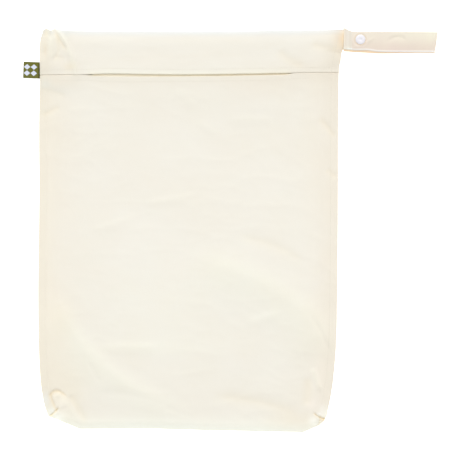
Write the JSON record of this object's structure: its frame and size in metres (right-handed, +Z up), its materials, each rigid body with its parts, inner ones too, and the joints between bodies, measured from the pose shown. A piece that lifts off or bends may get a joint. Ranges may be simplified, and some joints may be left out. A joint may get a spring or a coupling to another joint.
{
  "type": "hanging diaper pail bag",
  "caption": "Soft cream cloth hanging bag with a slit mouth under a turned-over top, boxed bottom corners, a strap snapped into a hanging loop and a folded side label.",
  "frame": {"origin": "middle of the back panel's underside, which lies on the surface", "axes": "+X towards the strap, +Y towards the top fold, +Z up from the surface to the front of the bag"},
  "size_m": [0.517, 0.5042, 0.0188],
  "materials": {
    "bag_cloth": "matt cream laminated cotton",
    "strap_cloth": "matt cream cotton, hemmed",
    "snap_plastic": "white moulded plastic",
    "label_weave": "olive woven ribbon"
  },
  "bodies": {
    "root": {"back_panel": "bag_cloth", "front_panel": "bag_cloth", "strap": "strap_cloth", "snap_cap": "snap_plastic", "snap_clasp": "snap_plastic", "snap_back_cap": "snap_plastic", "side_label": "label_weave"}
  },
  "joints": []
}
